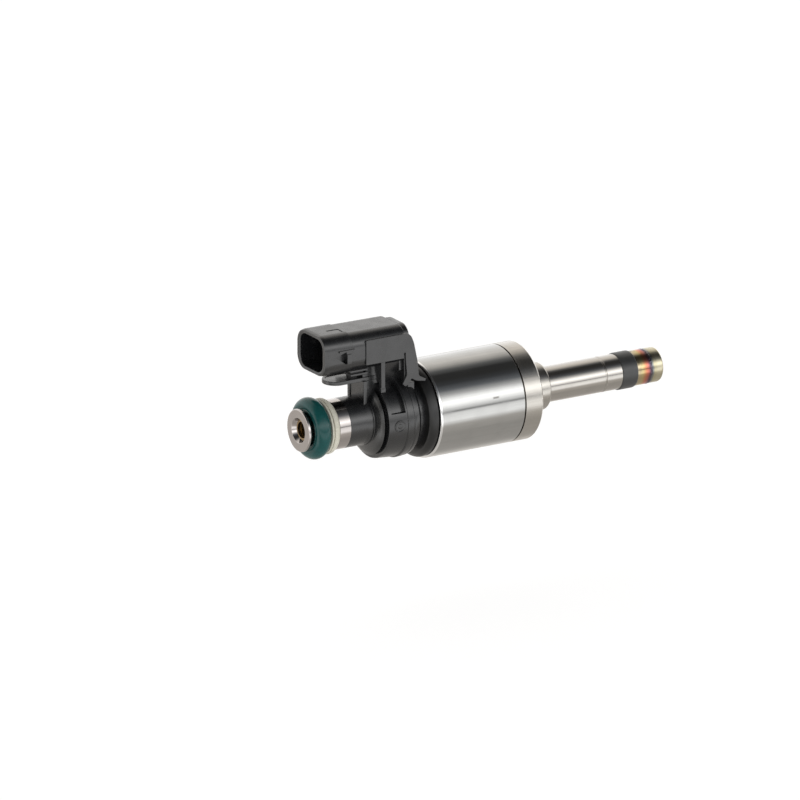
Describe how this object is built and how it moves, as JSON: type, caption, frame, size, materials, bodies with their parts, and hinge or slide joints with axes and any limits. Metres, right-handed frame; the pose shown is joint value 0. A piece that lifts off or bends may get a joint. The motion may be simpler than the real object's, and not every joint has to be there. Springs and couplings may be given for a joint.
{
  "type": "fuel injector",
  "caption": "High-pressure petrol injector: inlet tube with O-ring, moulded side connector, round steel coil can and a long slim nozzle with a seal near its tip.",
  "frame": {"origin": "on the injector's axis, in the plane of the seating shoulder at the front of the collar", "axes": "+X along the axis towards the spray tip, +Z towards the electrical connector, +Y completes a right-handed frame"},
  "size_m": [0.0871, 0.0208, 0.0311],
  "materials": {
    "inlet_steel": "turned and polished stainless steel",
    "teal_rubber": "smooth teal-green fluoroelastomer with a thin oil film",
    "cream_ring": "machined cream fluoropolymer",
    "strainer_brass": "bright brass",
    "strainer_gauze": "fine woven gauze",
    "black_moulding": "satin glass-filled nylon",
    "terminal_tin": "tinned",
    "bobbin_nylon": "matte brown nylon",
    "copper_wire": "enamelled copper wire",
    "magnetic_steel": "turned magnetic stainless steel",
    "can_steel": "drawn steel, brushed around and polished",
    "black_rubber": "satin black rubber",
    "collar_steel": "turned steel with a warm nickel tint",
    "brazed_ring": "non-magnetic stainless steel",
    "spring_steel": "drawn spring wire",
    "nozzle_steel": "ground and polished stainless steel",
    "black_fluoropolymer": "matte filled fluoropolymer",
    "seat_steel": "stainless steel with heat tint from the weld",
    "needle_steel": "ground hardened steel",
    "ball_steel": "lapped hardened steel"
  },
  "bodies": {
    "injector_body": {"inlet_tube": "inlet_steel", "rail_o_ring": "teal_rubber", "backup_ring": "cream_ring", "strainer_cage": "strainer_brass", "strainer_mesh": "strainer_gauze", "connector_housing": "black_moulding", "terminal_pin_left": "terminal_tin", "terminal_pin_right": "terminal_tin", "coil_bobbin": "bobbin_nylon", "coil_winding": "copper_wire", "cover_plate": "magnetic_steel", "magnet_housing": "can_steel", "housing_seal_ring": "black_rubber", "lower_housing": "collar_steel", "non_magnetic_ring": "brazed_ring", "pole_core": "magnetic_steel", "adjusting_sleeve": "magnetic_steel", "closing_spring": "spring_steel", "nozzle_tube": "nozzle_steel", "needle_guide": "needle_steel", "combustion_seal": "black_fluoropolymer", "valve_seat": "seat_steel"},
    "needle": {"needle_rod": "needle_steel", "valve_ball": "ball_steel", "upper_stop": "needle_steel", "lower_stop": "needle_steel", "armature_spring": "spring_steel"},
    "armature": {"armature": "magnetic_steel"}
  },
  "joints": [
    {"name": "needle_lift", "type": "slide", "parent": "injector_body", "child": "needle", "axis": [-1, 0, 0], "range_m": [0, 0.00008], "stiffness_N_per_m": 20000, "springref_m": -0.0015, "deforming": ["closing_spring"]},
    {"name": "armature_travel", "type": "slide", "parent": "needle", "child": "armature", "axis": [-1, 0, 0], "range_m": [0, 0.00005], "stiffness_N_per_m": 2000, "springref_m": -0.001, "deforming": ["armature_spring"]}
  ]
}
